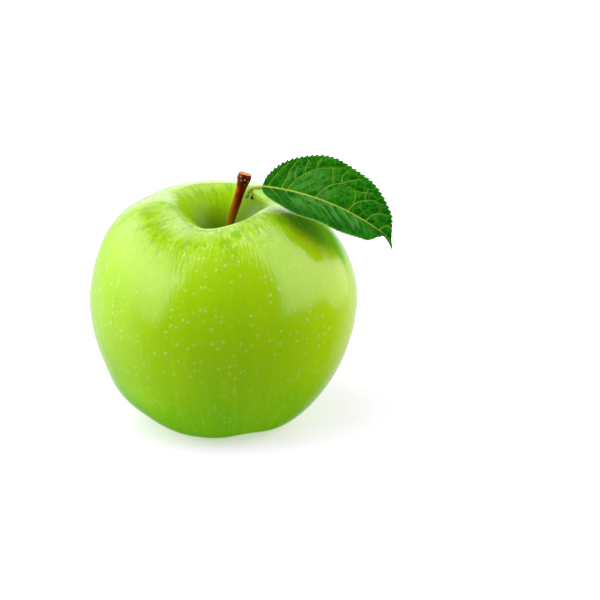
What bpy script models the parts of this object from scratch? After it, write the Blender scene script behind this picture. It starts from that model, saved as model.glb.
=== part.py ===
"""A green apple as picked: the fruit, its stem, one leaf and the dried flower end.

Lengths are in metres and +Z is up. The apple stands on five low points at Z = 0.
Angles round the core are in degrees, from the front of the apple (-Y) towards +X.
Run it with blender --background --python part.py, or from the text editor.
"""

import math

import bmesh
import bpy
from mathutils import Matrix, Vector
from mathutils.geometry import interpolate_bezier

# The origin is the middle of the whole outline, leaf included, so the core stands off it.
CORE_X = -0.0048
# Clearance between pieces that touch
GAP = 0.0003

# Fruit. REACH, RISE and DROP are the lengths of the handles that bend its section.
FRUIT_STEPS = 60
WIDEST_RADIUS = 0.0400
WIDEST_HEIGHT = 0.0363
CREST_RADIUS = 0.0164
CREST_HEIGHT = 0.0659
SHOULDER_REACH = 0.0171
SHOULDER_RISE = 0.0109
FLANK_DROP = 0.0182
FOOT_RADIUS = 0.0200
FOOT_REACH = 0.0062
OVAL_SHARE = 0.02
OVAL_ANGLE = -41
OVAL_START = 0.3
CROWN_LEAN = 0.0006
# Each wave round the crown: how many crests, their height, the angle of one crest
CROWN_WAVES = ((1, -0.0017, 26), (2, 0.0011, 60), (3, -0.0012, -11), (5, -0.0004, -35))
LOBES = 5
LOBE_ANGLE = -18
LOBE_RISE = 0.0014
LOBE_HEIGHT = 0.022
# How much of the lobes is cut away so that they stand flat
FLAT_DEPTH = 0.00015

# Stem cavity and the hole that holds the stem's foot
CAVITY_FLOOR = 0.0532
CAVITY_THROAT = 0.0035
CAVITY_BROW = 0.0078
SOCKET_DEPTH = 0.0040
# Steps along the section: cavity, shoulder, flank and basin
SECTION_STEPS = (8, 12, 11, 7)

# Calyx basin and the hole that holds the calyx
BASIN_DEPTH = 0.0088
BASIN_BROW = 0.0062
BASIN_SPREAD = 0.0060
CALYX_PLUG_RADIUS = 0.0030
CALYX_PLUG_DEPTH = 0.0030

# Stem
STEM_SIDES = 12
STEM_FOOT_RADIUS = 0.00120
STEM_BEND = (0.0002, 0.0, 0.0552)
STEM_LEAN = (0.0046, 0.0004, 0.0670)
STEM_TOP = (0.0066, 0.0008, 0.0746)
STEM_RINGS = 15
# Along the stem: the share of its length, and its radius there against the foot's
STEM_GIRTH = (
    (0.00, 1.00),
    (0.30, 0.98),
    (0.68, 1.10),
    (0.78, 1.16),
    (0.87, 1.40),
    (0.95, 1.74),
    (1.00, 1.64),
)

# Leaf blade. HEADING and PITCH are degrees at the base and what the tip adds; the two RISEs
# tilt the far and the near half, with what the tip adds and what the edge adds.
LEAF_BASE = (0.0117, -0.0020, 0.0717)
LEAF_LENGTH = 0.0426
LEAF_HALF_WIDTH = 0.0143
LEAF_THICKNESS = 0.0007
LEAF_TEETH = 42
TOOTH_DEPTH = 0.00045
TOOTH_LEAN = 0.8
TOOTH_LIMIT = 6
LEAF_ROWS = (-1.0, -0.66, -0.33, -0.05, 0.0, 0.05, 0.33, 0.66, 1.0)
MIDRIB_HEIGHT = 0.0005
LEAF_HEADING = (-9.8, -7.5)
LEAF_PITCH = (-3.2, -34.0)
FAR_RISE = (41.7, 1.2, 1.5)
NEAR_RISE = (-1.5, -4.8, -3.5)
OUTLINE_SKEW = 0.78
OUTLINE_FULLNESS = 0.70
TIP_START = 0.85
TIP_END = 0.95
TIP_NARROWING = 0.86
TIP_DROOP = -30
DROOP_START = 0.90
EDGE_WAVE = 0.0003
EDGE_WAVES = 3

# Leaf stalk and stipule
STALK_SIDES = 10
STALK_RINGS = 12
STALK_RADIUS = 0.00050
STALK_SUNK = 0.0035
HEEL = (0.0069, -0.0006, 0.0679)
HEEL_RADIUS = 0.00060
HEEL_SHARE = 0.4
STALK_BEND = (0.0075, -0.0006, 0.0711)
STALK_REACH = (0.0088, -0.0011, 0.0711)
STIPULE_ROOT = (0.0081, -0.0007, 0.0705)
STIPULE_TIP = (0.0086, -0.0009, 0.0675)
STIPULE_RADIUS = 0.00040
STIPULE_TAPER = (1.0, 0.9, 0.75)

# Calyx
CALYX_SIDES = 20
SEPALS = 5
SEPAL_SIDES = 8
SEPAL_RINGS = 5
SEPAL_ROOT = 0.0010
SEPAL_LENGTH = 0.0052
SEPAL_HALF_WIDTH = 0.0013
SEPAL_HALF_THICKNESS = 0.0004
SEPAL_RING = 0.0017
SEPAL_SPLAY = 12
SEPAL_CURL = 48
SEPAL_NARROWING = 0.65

SKIN_GREEN = (0.34, 0.60, 0.02)
BARK_BROWN = (0.22, 0.07, 0.02)
LEAF_GREEN = (0.03, 0.16, 0.02)
DRY_BROWN = (0.10, 0.05, 0.02)

SMOOTH_ANGLE = math.radians(40)
MERGE_DISTANCE = 1e-6


def clamp(value, low=0.0, high=1.0):
    return max(low, min(high, value))


def ease(value):
    """A smooth step from 0 to 1."""
    value = clamp(value)
    return value * value * (3 - 2 * value)


def material(name, colour, roughness, metallic=0.0):
    finish = bpy.data.materials.new(name)
    finish.use_nodes = True
    shader = finish.node_tree.nodes["Principled BSDF"]
    shader.inputs["Base Color"].default_value = (*colour, 1)
    shader.inputs["Roughness"].default_value = roughness
    shader.inputs["Metallic"].default_value = metallic
    return finish


def add_object(name, bm, finish):
    """Puts a finished bmesh in the scene, smooth except over its sharp edges."""
    mesh = bpy.data.meshes.new(name)
    bm.to_mesh(mesh)
    bm.free()
    mesh.shade_smooth()
    mesh.set_sharp_from_angle(angle=SMOOTH_ANGLE)
    mesh.materials.append(finish)
    made = bpy.data.objects.new(name, mesh)
    bpy.context.scene.collection.objects.link(made)
    return made


def join_into(body, pieces):
    """Unites the pieces with the body and removes them."""
    pile = bpy.data.collections.new(body.name + "_pieces")
    bpy.context.scene.collection.children.link(pile)
    for piece in pieces:
        bpy.context.scene.collection.objects.unlink(piece)
        pile.objects.link(piece)
    union = body.modifiers.new("Union", "BOOLEAN")
    union.operation = "UNION"
    union.solver = "EXACT"
    union.operand_type = "COLLECTION"
    union.collection = pile
    graph = bpy.context.evaluated_depsgraph_get()
    joined = bpy.data.meshes.new_from_object(body.evaluated_get(graph))
    body.modifiers.clear()
    body.data = joined
    for piece in pieces:
        bpy.data.objects.remove(piece)
    bpy.data.collections.remove(pile)


def tapered_rod(centres, sections, sides, side_hint=Vector((0, 1, 0))):
    """A closed rod: a capped ring drawn out along the centres, each new ring to its own section.

    A section is a half width, which lies along side_hint, and a half thickness.
    """
    bm = bmesh.new()
    cap = None
    for index, (centre, section) in enumerate(zip(centres, sections)):
        before = centres[max(index - 1, 0)]
        after = centres[min(index + 1, len(centres) - 1)]
        along = (after - before).normalized()
        across = (side_hint - along * side_hint.dot(along)).normalized()
        place = Matrix((across, along.cross(across), along)).transposed().to_4x4()
        place.translation = centre
        place = place @ Matrix.Diagonal((*section, 1, 1))
        if cap is None:
            bmesh.ops.create_circle(bm, cap_ends=True, segments=sides, radius=1, matrix=place)
            cap = bm.faces[:][0]
        else:
            inner = cap
            drawn = bmesh.ops.extrude_face_region(bm, geom=[inner])["geom"]
            cap = next(part for part in drawn if isinstance(part, bmesh.types.BMFace))
            if index > 1:
                bmesh.ops.delete(bm, geom=[inner], context="FACES_ONLY")
            bmesh.ops.transform(bm, matrix=place @ last.inverted(), verts=cap.verts[:])
        last = place
    bmesh.ops.recalc_face_normals(bm, faces=bm.faces[:])
    return bm


def spread(start, start_handle, end_handle, end, count):
    """Points along one smooth bend, without its first point."""
    corners = [Vector((x, 0, z)) for x, z in (start, start_handle, end_handle, end)]
    return interpolate_bezier(*corners, count + 1)[1:]


def fruit_profile():
    """Half of the upright section, from the floor of the stem's hole round to the calyx's hole."""
    socket_radius = STEM_FOOT_RADIUS + GAP
    socket_floor = CAVITY_FLOOR - SOCKET_DEPTH
    plug_radius = CALYX_PLUG_RADIUS + GAP
    plug_ceiling = BASIN_DEPTH + CALYX_PLUG_DEPTH
    throat = (socket_radius, CAVITY_FLOOR)
    crest = (CREST_RADIUS, CREST_HEIGHT)
    widest = (WIDEST_RADIUS, WIDEST_HEIGHT)
    foot = (FOOT_RADIUS, 0)
    rim = (plug_radius, BASIN_DEPTH)
    points = [Vector((0, 0, socket_floor)), Vector((socket_radius, 0, socket_floor))]
    points.append(Vector((socket_radius, 0, CAVITY_FLOOR)))
    points += spread(
        throat,
        (throat[0] + CAVITY_THROAT, CAVITY_FLOOR),
        (CREST_RADIUS - CAVITY_BROW, CREST_HEIGHT),
        crest,
        SECTION_STEPS[0],
    )
    points += spread(
        crest,
        (CREST_RADIUS + SHOULDER_REACH, CREST_HEIGHT),
        (WIDEST_RADIUS, WIDEST_HEIGHT + SHOULDER_RISE),
        widest,
        SECTION_STEPS[1],
    )
    points += spread(
        widest,
        (WIDEST_RADIUS, WIDEST_HEIGHT - FLANK_DROP),
        (FOOT_RADIUS + FOOT_REACH, 0),
        foot,
        SECTION_STEPS[2],
    )
    points += spread(
        foot,
        (FOOT_RADIUS - BASIN_BROW, 0),
        (plug_radius + BASIN_SPREAD, BASIN_DEPTH),
        rim,
        SECTION_STEPS[3],
    )
    points += [Vector((plug_radius, 0, plug_ceiling)), Vector((0, 0, plug_ceiling))]
    return points


def grown(point):
    """Where the uneven growth of crown and base takes a point of the round form."""
    radius = math.hypot(point.x, point.y)
    angle = math.atan2(point.x, -point.y)
    upper = ease((point.z - WIDEST_HEIGHT) / (CREST_HEIGHT - WIDEST_HEIGHT))
    socket_radius = STEM_FOOT_RADIUS + GAP
    upper *= clamp((radius - socket_radius) / (CREST_RADIUS - socket_radius))
    rise = sum(
        height * math.cos(crests * (angle - math.radians(turn)))
        for crests, height, turn in CROWN_WAVES
    )
    plug_radius = CALYX_PLUG_RADIUS + GAP
    lower = ease(1 - point.z / LOBE_HEIGHT)
    lower *= clamp((radius - plug_radius) / (FOOT_RADIUS - plug_radius))
    hollow = ((1 - math.cos(LOBES * (angle - math.radians(LOBE_ANGLE)))) / 2) ** 2
    oval = 1 + OVAL_SHARE * math.cos(2 * (angle - math.radians(OVAL_ANGLE)))
    oval = 1 + (oval - 1) * clamp(radius / CREST_RADIUS - OVAL_START)
    return Vector(
        (
            CORE_X + point.x * oval - CROWN_LEAN * upper,
            point.y * oval,
            point.z + rise * upper + LOBE_RISE * hollow * lower - FLAT_DEPTH,
        )
    )


def make_fruit():
    bm = bmesh.new()
    profile = [bm.verts.new(point) for point in fruit_profile()]
    edges = [bm.edges.new(pair) for pair in zip(profile, profile[1:])]
    bmesh.ops.spin(
        bm,
        geom=profile + edges,
        cent=(0, 0, 0),
        axis=(0, 0, 1),
        angle=math.tau,
        steps=FRUIT_STEPS,
        use_merge=True,
    )
    bmesh.ops.remove_doubles(bm, verts=bm.verts[:], dist=MERGE_DISTANCE)
    for vert in bm.verts:
        vert.co = grown(vert.co)
    bmesh.ops.bisect_plane(
        bm,
        geom=bm.verts[:] + bm.edges[:] + bm.faces[:],
        dist=MERGE_DISTANCE,
        plane_co=(0, 0, 0),
        plane_no=(0, 0, -1),
        clear_outer=True,
    )
    open_edges = [edge for edge in bm.edges if edge.is_boundary]
    bmesh.ops.holes_fill(bm, edges=open_edges, sides=0)
    bmesh.ops.recalc_face_normals(bm, faces=bm.faces[:])
    return add_object("fruit", bm, material("apple_skin", SKIN_GREEN, 0.32))


def girth(share):
    """The stem's radius against its foot's, at a share of the length."""
    for (low, thin), (high, thick) in zip(STEM_GIRTH, STEM_GIRTH[1:]):
        if share <= high:
            return thin + (thick - thin) * ease((share - low) / (high - low))
    return STEM_GIRTH[-1][1]


def placed(point):
    """A point given from the core, in the whole part's frame."""
    return Vector(point) + Vector((CORE_X, 0, 0))


def make_stem():
    foot = placed((0, 0, CAVITY_FLOOR - SOCKET_DEPTH - FLAT_DEPTH + GAP))
    mouth = placed((0, 0, CAVITY_FLOOR - FLAT_DEPTH))
    top = placed(STEM_TOP)
    centres = [foot, foot.lerp(mouth, 0.5)]
    centres += interpolate_bezier(mouth, placed(STEM_BEND), placed(STEM_LEAN), top, STEM_RINGS)
    sections = []
    for centre in centres:
        above = max(centre.z - mouth.z, 0)
        radius = STEM_FOOT_RADIUS * girth(above / (top.z - mouth.z))
        sections.append((radius, radius))
    bm = tapered_rod(centres, sections, STEM_SIDES)
    return add_object("stem", bm, material("stem_bark", BARK_BROWN, 0.55))


def leaf_direction(share):
    """The midrib's direction at a share of the blade's length."""
    heading = math.radians(LEAF_HEADING[0] + LEAF_HEADING[1] * share * share)
    droop = TIP_DROOP * clamp((share - DROOP_START) / (1 - DROOP_START))
    pitch = math.radians(LEAF_PITCH[0] + LEAF_PITCH[1] * share + droop)
    level = math.cos(pitch)
    return Vector((level * math.cos(heading), level * math.sin(heading), math.sin(pitch)))


def leaf_up(share):
    """Straight up from the blade at the midrib, square to it."""
    along = leaf_direction(share)
    return along.cross(Vector((0, 0, 1)).cross(along)).normalized()


def midrib_points(count):
    """The midrib's line from the blade's base to its tip, in even steps."""
    points = [placed(LEAF_BASE)]
    for index in range(count):
        step = leaf_direction((index + 0.5) / count) * (LEAF_LENGTH / count)
        points.append(points[-1] + step)
    return points


def half_width(share):
    """Half of the blade's width at a share of its length."""
    swell = max(math.sin(math.pi * clamp(share) ** OUTLINE_SKEW), 0)
    narrowing = TIP_NARROWING * ease((share - TIP_START) / (TIP_END - TIP_START))
    return LEAF_HALF_WIDTH * swell**OUTLINE_FULLNESS * (1 - narrowing)


def blade_point(midrib, share, across):
    """A point of the blade's upper face. across runs from -1, the near edge, to 1, the far edge."""
    up = leaf_up(share)
    level = up.cross(leaf_direction(share))
    side = 1 if across >= 0 else -1
    rise, tip_rise, edge_rise = FAR_RISE if side > 0 else NEAR_RISE
    angle = math.radians(rise + tip_rise * share + edge_rise * abs(across))
    reach = half_width(share) * abs(across)
    wave = EDGE_WAVE * math.sin(math.tau * EDGE_WAVES * share + side)
    wave *= across * across * math.sin(math.pi * share)
    return midrib + level * (side * reach * math.cos(angle)) + up * (reach * math.sin(angle) + wave)


def toothed(point, midrib, share, is_tip):
    """Takes a point of the edge out to a tooth's tip, which leans forward, or in to a notch."""
    outward = (point - midrib).normalized()
    depth = min(TOOTH_DEPTH, half_width(share) / TOOTH_LIMIT) / 2
    if is_tip:
        return point + (outward + leaf_direction(share) * TOOTH_LEAN) * depth
    return point - outward * depth


def make_blade():
    """The toothed blade with its midrib raised below: one closed, thin body."""
    columns = 2 * LEAF_TEETH
    rows = len(LEAF_ROWS) - 1
    midrib = midrib_points(columns)
    bm = bmesh.new()
    bmesh.ops.create_grid(bm, x_segments=columns, y_segments=rows, size=0.5)
    rib = bm.verts.layers.float.new("rib")
    for vert in bm.verts:
        column = round((vert.co.x + 0.5) * columns)
        across = LEAF_ROWS[round((vert.co.y + 0.5) * rows)]
        share = column / columns
        point = blade_point(midrib[column], share, across)
        inside = 0 < column < columns
        if abs(across) == 1 and inside:
            point = toothed(point, midrib[column], share, is_tip=column % 2 == 1)
        if across == 0 and inside:
            vert[rib] = MIDRIB_HEIGHT * min(1, 2 * (1 - share))
        vert.co = point
    bmesh.ops.remove_doubles(bm, verts=bm.verts[:], dist=MERGE_DISTANCE)
    bmesh.ops.triangulate(bm, faces=bm.faces[:])
    bmesh.ops.recalc_face_normals(bm, faces=bm.faces[:])
    if bm.faces[:][0].normal.z < 0:
        bmesh.ops.reverse_faces(bm, faces=bm.faces[:])
    bmesh.ops.solidify(bm, geom=bm.faces[:], thickness=LEAF_THICKNESS)
    bmesh.ops.recalc_face_normals(bm, faces=bm.faces[:])
    for vert in bm.verts:
        if vert[rib] and vert.normal.z < 0:
            vert.co += vert.normal * vert[rib]
    return bm


def make_leaf():
    green = material("leaf_green", LEAF_GREEN, 0.4)
    leaf = add_object("leaf", make_blade(), green)

    heel = placed(HEEL)
    base = placed(LEAF_BASE) - leaf_up(0) * (LEAF_THICKNESS / 2)
    centres = interpolate_bezier(heel, placed(STALK_BEND), placed(STALK_REACH), base, STALK_RINGS)
    centres.append(base + leaf_direction(0) * STALK_SUNK)
    sections = []
    for index in range(len(centres)):
        share = index / (len(centres) - 1)
        radius = HEEL_RADIUS + (STALK_RADIUS - HEEL_RADIUS) * ease(share / HEEL_SHARE)
        sections.append((radius, radius))
    stalk = add_object("stalk", tapered_rod(centres, sections, STALK_SIDES), green)

    root = placed(STIPULE_ROOT)
    tip = placed(STIPULE_TIP)
    centres = [root, root.lerp(tip, 0.5), tip]
    sections = [(STIPULE_RADIUS * share, STIPULE_RADIUS * share) for share in STIPULE_TAPER]
    stipule = add_object("stipule", tapered_rod(centres, sections, STALK_SIDES), green)
    join_into(leaf, [stalk, stipule])
    return leaf


def make_sepal(angle, brown):
    """One withered sepal, hanging from the plug and curling outwards."""
    outward = Vector((math.sin(angle), -math.cos(angle), 0))
    sideways = Vector((math.cos(angle), math.sin(angle), 0))
    centres = [placed((0, 0, BASIN_DEPTH - FLAT_DEPTH + SEPAL_ROOT)) + outward * SEPAL_RING]
    for index in range(SEPAL_RINGS):
        share = index / (SEPAL_RINGS - 1)
        lean = math.radians(SEPAL_SPLAY + SEPAL_CURL * share)
        step = outward * math.sin(lean) + Vector((0, 0, -math.cos(lean)))
        centres.append(centres[-1] + step * (SEPAL_LENGTH / SEPAL_RINGS))
    sections = []
    for index in range(len(centres)):
        share = index / (len(centres) - 1)
        width = SEPAL_HALF_WIDTH * (1 - SEPAL_NARROWING * share * share)
        sections.append((width, SEPAL_HALF_THICKNESS))
    return add_object("sepal", tapered_rod(centres, sections, SEPAL_SIDES, sideways), brown)


def make_calyx():
    brown = material("calyx_dry", DRY_BROWN, 0.8)
    low = BASIN_DEPTH - FLAT_DEPTH - GAP
    high = BASIN_DEPTH - FLAT_DEPTH + CALYX_PLUG_DEPTH - GAP
    bm = bmesh.new()
    bmesh.ops.create_cone(
        bm,
        cap_ends=True,
        segments=CALYX_SIDES,
        radius1=CALYX_PLUG_RADIUS,
        radius2=CALYX_PLUG_RADIUS,
        depth=high - low,
        matrix=Matrix.Translation(placed((0, 0, (low + high) / 2))),
    )
    calyx = add_object("calyx", bm, brown)
    turns = [math.radians(LOBE_ANGLE) + math.tau * index / SEPALS for index in range(SEPALS)]
    join_into(calyx, [make_sepal(turn, brown) for turn in turns])
    return calyx


def main():
    for old in list(bpy.data.objects):
        bpy.data.objects.remove(old)
    make_fruit()
    make_stem()
    make_leaf()
    make_calyx()


main()
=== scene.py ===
import math

import bmesh
import bpy
import numpy as np
from bpy.props import FloatProperty, FloatVectorProperty, IntProperty, PointerProperty
from mathutils import Matrix, Vector, noise
from mathutils.geometry import interpolate_bezier


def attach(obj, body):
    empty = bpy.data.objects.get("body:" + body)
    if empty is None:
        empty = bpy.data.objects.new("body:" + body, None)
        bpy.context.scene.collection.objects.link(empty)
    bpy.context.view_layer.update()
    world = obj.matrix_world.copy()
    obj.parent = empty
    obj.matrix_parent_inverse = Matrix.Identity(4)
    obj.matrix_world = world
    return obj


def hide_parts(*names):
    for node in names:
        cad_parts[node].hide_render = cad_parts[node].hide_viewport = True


bl_info = {
    "name": "Green apple",
    "version": (1, 0, 0),
    "blender": (4, 5, 0),
    "location": "3D View > Sidebar > Apple",
    "description": "Finishes a packed green apple: skin, stem, leaf, flower end and studio",
    "category": "Object",
}

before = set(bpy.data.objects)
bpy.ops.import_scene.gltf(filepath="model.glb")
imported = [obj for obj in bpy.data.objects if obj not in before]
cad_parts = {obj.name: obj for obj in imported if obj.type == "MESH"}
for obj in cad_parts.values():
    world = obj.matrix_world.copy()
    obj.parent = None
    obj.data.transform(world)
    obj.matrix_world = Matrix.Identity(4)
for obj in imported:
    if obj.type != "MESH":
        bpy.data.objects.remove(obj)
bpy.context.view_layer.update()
MM = 0.001

# Sizes shared with the solids, in metres. Angles run round the core, in degrees from the front.
CORE_X = -0.0048
GAP = 0.0003
WIDEST_RADIUS = 0.0400
WIDEST_HEIGHT = 0.0363
CREST_RADIUS = 0.0164
CREST_HEIGHT = 0.0659
SHOULDER_REACH = 0.0171
SHOULDER_RISE = 0.0109
FLANK_DROP = 0.0182
FOOT_RADIUS = 0.0200
FOOT_REACH = 0.0062
OVAL_SHARE = 0.02
OVAL_ANGLE = -41
OVAL_START = 0.3
CROWN_LEAN = 0.0006
CROWN_WAVES = ((1, -0.0017, 26), (2, 0.0011, 60), (3, -0.0012, -11), (5, -0.0004, -35))
LOBES = 5
LOBE_ANGLE = -18
LOBE_RISE = 0.0014
LOBE_HEIGHT = 0.022
FLAT_DEPTH = 0.00015
CAVITY_FLOOR = 0.0532
CAVITY_THROAT = 0.0035
CAVITY_BROW = 0.0078
SOCKET_DEPTH = 0.0040
BASIN_DEPTH = 0.0088
BASIN_BROW = 0.0062
BASIN_SPREAD = 0.0060
CALYX_PLUG_RADIUS = 0.0030
CALYX_PLUG_DEPTH = 0.0030
STEM_FOOT_RADIUS = 0.00120
STEM_BEND = (0.0002, 0.0, 0.0552)
STEM_LEAN = (0.0046, 0.0004, 0.0670)
STEM_TOP = (0.0066, 0.0008, 0.0746)
STEM_GIRTH = (
    (0.00, 1.00), (0.30, 0.98), (0.68, 1.10), (0.78, 1.16), (0.87, 1.40), (0.95, 1.74),
    (1.00, 1.64),
)
LEAF_BASE = (0.0117, -0.0020, 0.0717)
LEAF_LENGTH = 0.0426
LEAF_HALF_WIDTH = 0.0143
LEAF_HEADING = (-9.8, -7.5)
LEAF_PITCH = (-3.2, -34.0)
FAR_RISE = (41.7, 1.2, 1.5)
NEAR_RISE = (-1.5, -4.8, -3.5)
OUTLINE_SKEW = 0.78
OUTLINE_FULLNESS = 0.70
TIP_START = 0.85
TIP_END = 0.95
TIP_NARROWING = 0.86
EDGE_WAVE = 0.0003
EDGE_WAVES = 3
HEEL = (0.0069, -0.0006, 0.0679)
STALK_BEND = (0.0075, -0.0006, 0.0711)
STALK_REACH = (0.0088, -0.0011, 0.0711)
STIPULE_ROOT = (0.0081, -0.0007, 0.0705)
STIPULE_TIP = (0.0086, -0.0009, 0.0675)
SEPAL_ROOT = 0.0010
SEPAL_LENGTH = 0.0052
SEPAL_RING = 0.0017
SEPAL_SPLAY = 12
SEPAL_CURL = 48

# Fineness of the finished pieces
FRUIT_TURN_STEPS = 360
# Steps down the cavity, the shoulder, the flank and the basin
FRUIT_SECTION_STEPS = (48, 76, 70, 36)
STEM_SIDES = 64
STEM_RINGS = 110
TOOTH_COLUMNS = 8
LEAF_ROWS = 144
BASE_CROWDING = 1.5
NEAR_TOOTH_SHARE = 0.35
MERGE_DISTANCE = 1e-6

# Where the finished pieces leave the solids: fuller front lobes, and the blade's tip and near half
FULL_SIDE = -62
FULL_LOBE = 0.040
FULL_HEIGHT = 0.008
FULL_REACH = 0.014
TIP_DROOP = -42
DROOP_START = 0.89
TIP_STRETCH = 0.25
NEAR_FULLNESS = 0.15
NEAR_FULLEST = 0.84
NEAR_FULL_REACH = 0.26

# The stem's cut end: rises above its top and shares of its radius, from the rim into the dish
CUT_RINGS = (
    (0.00016, 0.975), (0.00024, 0.93), (0.00022, 0.84), (0.00010, 0.66), (0.00004, 0.42),
    (0.00006, 0.18),
)
SOCKET_RINGS = 6
KNOBS_START = 0.80
KNOBS_END = 0.95
RIDGE_HEIGHT = 0.00008
CUT_UNEVENNESS = 0.00010

# Scales of the fruit's dents, and how far they keep from its feet and its holes
DENT_SCALE = 70
FINE_DENT_SCALE = 150
FEET_CLEARANCE = 0.004
HOLE_CLEARANCE = 0.0035

# Widths of veins and of what lies beside them, in millimetres
MAIN_WIDTH = 0.30
SIDE_WIDTH = 0.10
LEAST_WIDTH = 0.045
LINK_WIDTH = 0.085
DIP_WIDTH = 0.22
BULGE_WIDTH = 0.9

# Shares: where the toothed band starts across the half blade, and a tooth's slow and steep side
EDGE_START = 0.86
TOOTH_PEAK = 0.68
TOOTH_FALL = 0.32

# Relief under the blade, its stalk, the stipule and the flower's remains, in metres and steps
RIB_DEPTH = 0.00045
STALK_RADIUS = 0.00072
STALK_THIN_RADIUS = 0.00052
STALK_RUN = 0.0035
STALK_RUN_DROP = 0.00015
STALK_RUN_STEPS = 8
STIPULE_STEPS = 14
SEPALS = 5
SEPAL_STEPS = 26
SEPAL_HALF_WIDTH = 0.0013
SEPAL_HALF_THICKNESS = 0.00030
STAMEN_STEPS = 12
STAMEN_RING = 0.0011
STAMEN_LENGTH = 0.0034
STAMEN_RADIUS = 0.00011
STAMEN_HEAD_RADIUS = 0.00020
# Beyond any vein, in millimetres
FAR_OFF = 99.0

# Skin pattern: strokes as width, length and shift in millimetres, and colours that have no setting
STROKES = ((1.7, 4.6, 0.0), (2.2, 6.0, 37.0), (1.4, 3.6, 91.0))
BLOTCH_GREEN = (0.25, 0.53, 0.001)
STROKE_GREEN = (0.67, 0.88, 0.19)
DOT_GREEN = (0.74, 0.92, 0.40)
# The dark tint is painted shade on the reflections inside the cavity
REFLECTION_SHADE_TINT = (0.08, 0.08, 0.08)

# Studio: lights as name, place, width and height, and the point the camera looks at, from the core
LIGHTS = (
    ("left_light", (-0.69, -0.19, 0.27), 0.95, 0.60),
    ("right_light", (0.71, 0.02, 0.25), 0.70, 0.60),
    ("back_light", (0.54, 0.46, 0.31), 0.70, 0.70),
    ("top_light", (-0.38, 0.0, 0.72), 0.90, 0.90),
)
LIGHT_TARGET = (0, 0, 0.05)
CAMERA_TARGET = (0.02264, 0.0358)

# Main veins of the blade as far as they show: share of its length, share of its half width
FAR_VEINS = (
    ((0.030, 0.0), (0.040, 0.12), (0.055, 0.40), (0.075, 0.60), (0.105, 0.80), (0.14, 0.93)),
    ((0.125, 0.0), (0.135, 0.15), (0.150, 0.38), (0.150, 0.58), (0.170, 0.80), (0.19, 0.93)),
    ((0.170, 0.0), (0.205, 0.35), (0.255, 0.53), (0.315, 0.68), (0.405, 0.78), (0.46, 0.87)),
    ((0.365, 0.0), (0.41, 0.30), (0.45, 0.45), (0.495, 0.55), (0.525, 0.65), (0.555, 0.78),
     (0.60, 0.90)),
    ((0.61, 0.0), (0.62, 0.20), (0.645, 0.38), (0.68, 0.50), (0.725, 0.68), (0.77, 0.78),
     (0.80, 0.90)),
    ((0.750, 0.0), (0.760, 0.23), (0.780, 0.43), (0.810, 0.58), (0.84, 0.75), (0.86, 0.9)),
    ((0.860, 0.0), (0.870, 0.30), (0.890, 0.60), (0.91, 0.85)),
)
FAR_LINKS = (
    ((0.41, 0.78), (0.425, 0.62), (0.445, 0.45)),
    ((0.545, 0.55), (0.595, 0.55), (0.615, 0.40), (0.620, 0.23)),
    ((0.595, 0.55), (0.64, 0.62), (0.70, 0.80)),
    ((0.205, 0.35), (0.19, 0.52), (0.20, 0.72)),
    ((0.255, 0.53), (0.245, 0.70), (0.255, 0.88)),
    ((0.315, 0.68), (0.310, 0.80), (0.325, 0.93)),
    ((0.495, 0.55), (0.48, 0.70), (0.50, 0.88)),
    ((0.680, 0.50), (0.66, 0.62), (0.66, 0.80)),
)
NEAR_VEINS = (
    ((0.055, 0.0), (0.125, 0.50), (0.155, 0.65), (0.20, 0.88)),
    ((0.165, 0.0), (0.195, 0.30), (0.250, 0.55), (0.30, 0.78), (0.34, 0.90)),
    ((0.285, 0.0), (0.315, 0.20), (0.345, 0.40), (0.375, 0.60), (0.42, 0.80), (0.46, 0.90)),
    ((0.370, 0.0), (0.405, 0.20), (0.465, 0.47), (0.500, 0.60), (0.55, 0.80), (0.59, 0.90)),
    ((0.430, 0.0), (0.460, 0.25), (0.530, 0.52), (0.58, 0.70), (0.64, 0.88)),
    ((0.505, 0.0), (0.545, 0.32), (0.620, 0.52), (0.68, 0.72), (0.73, 0.88)),
    ((0.610, 0.0), (0.650, 0.30), (0.71, 0.55), (0.77, 0.78), (0.81, 0.90)),
    ((0.720, 0.0), (0.760, 0.35), (0.81, 0.62), (0.86, 0.85)),
    ((0.820, 0.0), (0.850, 0.40), (0.89, 0.75)),
)


def clamp(value, low=0.0, high=1.0):
    return max(low, min(high, value))


def ease(value):
    """A smooth step from 0 to 1."""
    value = clamp(value)
    return value * value * (3 - 2 * value)


def level_direction(angle):
    """The level direction at an angle round the core, from the front."""
    return Vector((math.sin(angle), -math.cos(angle), 0))


def bell(distance, reach):
    """1 on a line, falling off smoothly beside it."""
    return math.exp(-((distance / reach) ** 2))


def placed(point):
    """A point given from the core, in the whole part's frame."""
    return Vector(point) + Vector((CORE_X, 0, 0))


def colour_setting(name, description, *default):
    return FloatVectorProperty(
        name=name, description=description, subtype="COLOR", min=0, max=1, default=default
    )


def length_setting(name, description, low, high, default):
    return FloatProperty(
        name=name, description=description, subtype="DISTANCE", unit="LENGTH",
        min=low, max=high, default=default,
    )


def number_setting(name, description, low, high, default):
    return FloatProperty(name=name, description=description, min=low, max=high, default=default)


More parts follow.
